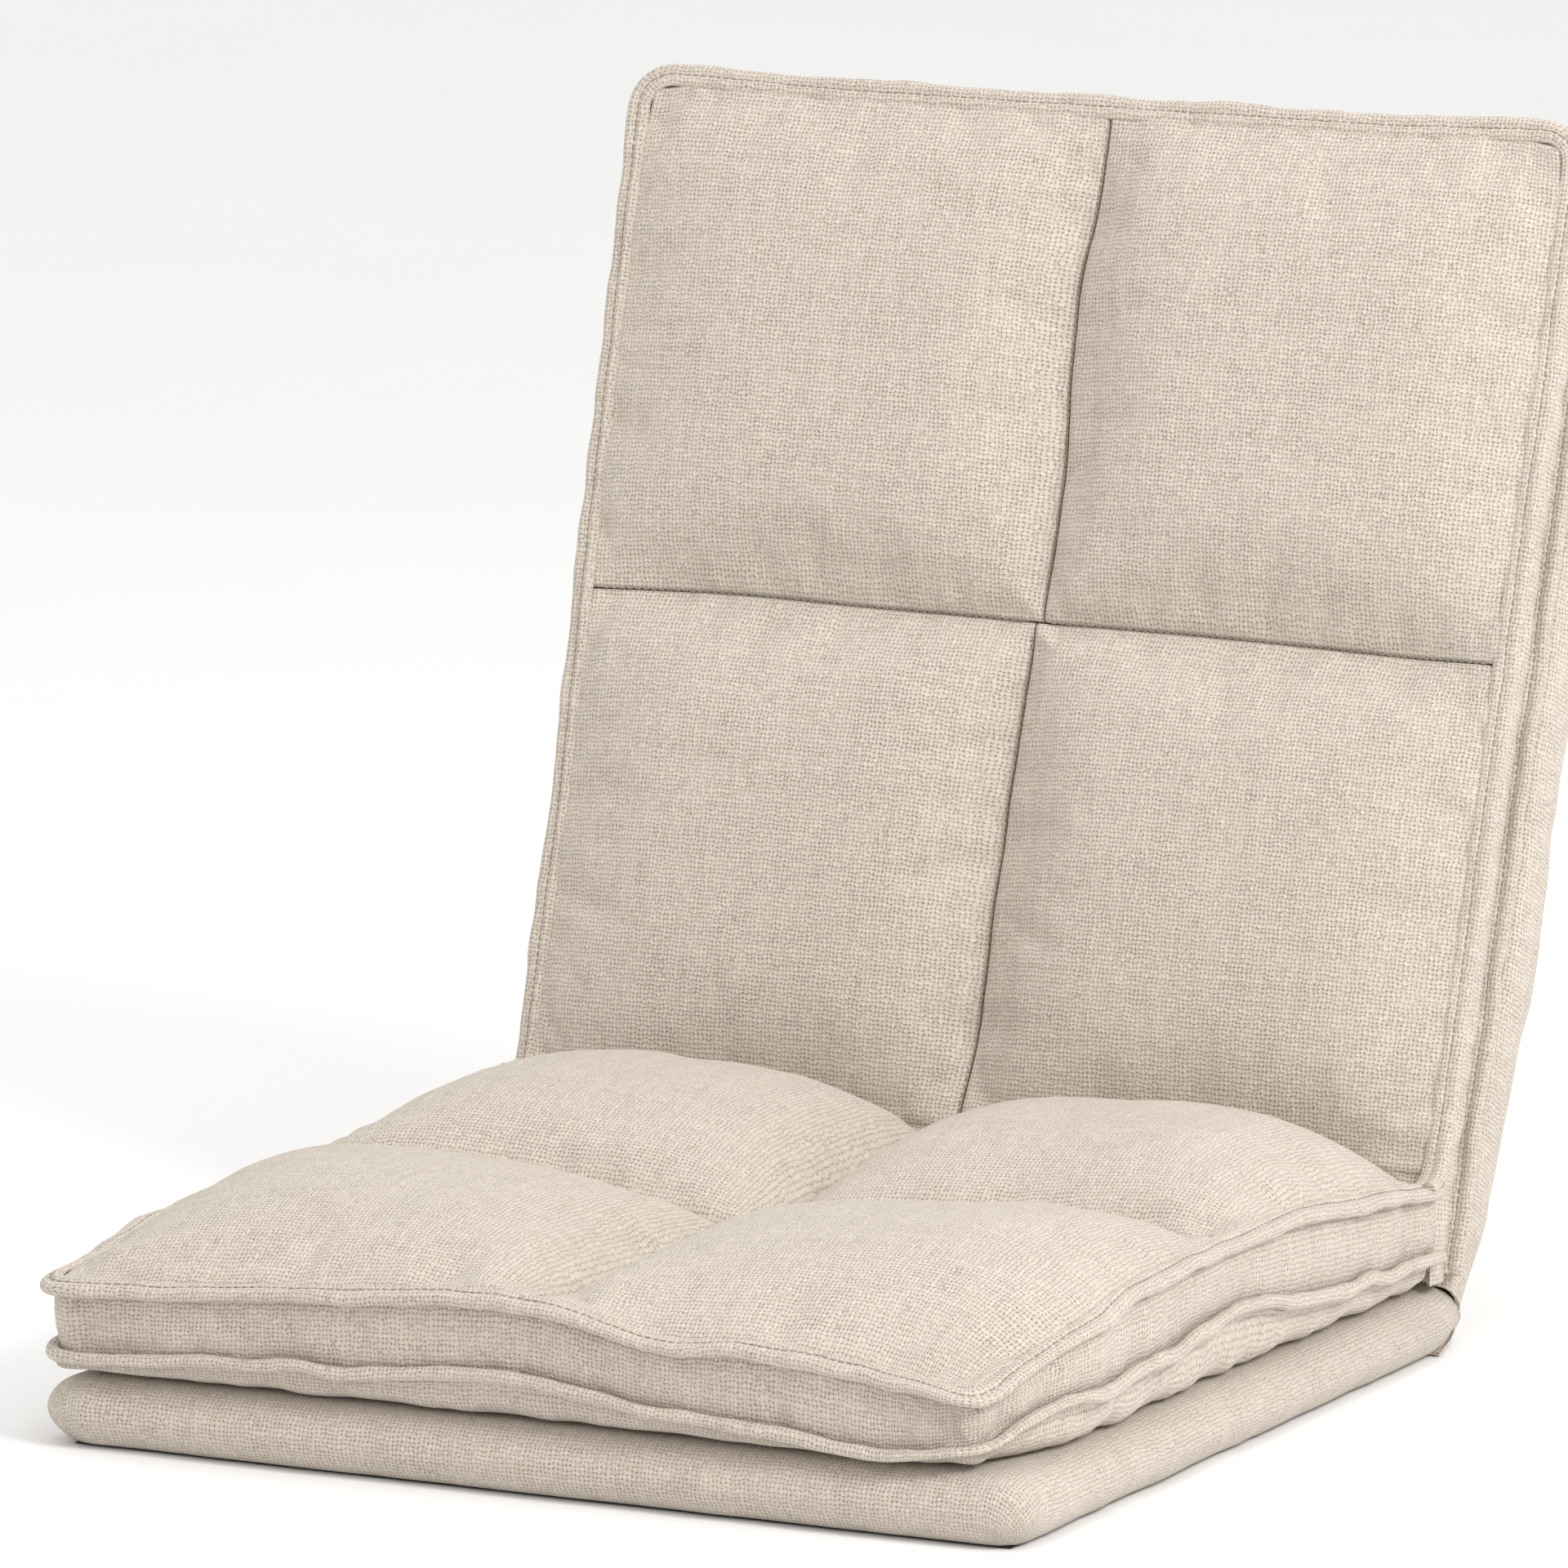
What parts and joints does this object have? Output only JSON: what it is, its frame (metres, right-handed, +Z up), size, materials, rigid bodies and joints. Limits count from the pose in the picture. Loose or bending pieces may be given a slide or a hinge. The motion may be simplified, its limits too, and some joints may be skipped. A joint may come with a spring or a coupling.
{
  "type": "chair seat pad",
  "caption": "Upholstered dining chair seat pad: a padded seat deck and reclined back shell under a quilted, flange-seamed topper whose seat section lifts at the crease.",
  "frame": {"origin": "centre of the four seat fixing holes, on the underside that rests on the chair's rails", "axes": "+Z up, -Y towards the front edge, +X to the right as seen from the front; the back rises towards +Y"},
  "size_m": [0.484, 0.6797, 0.5571],
  "materials": {
    "upholstery_cloth": "coarse plain-weave linen-look cloth in warm off-white with grey-brown slubs",
    "foam": "open-cell polyurethane foam",
    "wadding": "polyester wadding",
    "plywood": "birch plywood, sanded",
    "plated_steel": "bright zinc plate",
    "dust_cloth": "black spunbonded non-woven",
    "hook_and_loop": "beige hook-and-loop strip",
    "zip_tape": "beige woven zip tape with a nylon coil",
    "thread": "grey-brown polyester sewing thread"
  },
  "bodies": {
    "shell": {"seat_board": "plywood", "seat_tnuts": "plated_steel", "deck_foam": "foam", "deck_cover": "upholstery_cloth", "dust_cover": "dust_cloth", "deck_staples": "plated_steel", "deck_hook_strips": "hook_and_loop", "corner_brackets": "plated_steel", "bracket_screws": "plated_steel", "back_board": "plywood", "back_shell_foam": "foam", "back_shell_cover": "upholstery_cloth", "back_rear_panel": "upholstery_cloth", "back_staples": "plated_steel", "back_core": "foam", "back_wadding": "wadding", "back_panel_ul": "upholstery_cloth", "back_panel_ur": "upholstery_cloth", "back_panel_ll": "upholstery_cloth", "back_panel_lr": "upholstery_cloth", "back_gusset": "upholstery_cloth", "back_base_panel": "upholstery_cloth", "back_front_flange": "upholstery_cloth", "back_rear_flange": "upholstery_cloth", "back_cross_stitch": "thread", "back_topstitch": "thread", "crease_seam": "upholstery_cloth"},
    "seat_section": {"seat_core": "foam", "seat_wadding": "wadding", "seat_panel_fl": "upholstery_cloth", "seat_panel_fr": "upholstery_cloth", "seat_panel_rl": "upholstery_cloth", "seat_panel_rr": "upholstery_cloth", "seat_gusset": "upholstery_cloth", "seat_base_panel": "upholstery_cloth", "seat_top_flange": "upholstery_cloth", "seat_base_flange": "upholstery_cloth", "seat_cross_stitch": "thread", "seat_topstitch": "thread", "zip_tape": "zip_tape", "loop_strips": "hook_and_loop"},
    "zip_slider": {"zip_slider": "plated_steel"}
  },
  "joints": [
    {"name": "seat_lift", "type": "hinge", "parent": "shell", "child": "seat_section", "pos_m": [0, 0.215, 0.084], "axis": [-1, 0, 0], "range_deg": [0, 35]},
    {"name": "zip_slide", "type": "slide", "parent": "seat_section", "child": "zip_slider", "axis": [1, 0, 0], "range_m": [0, 0.352]}
  ]
}
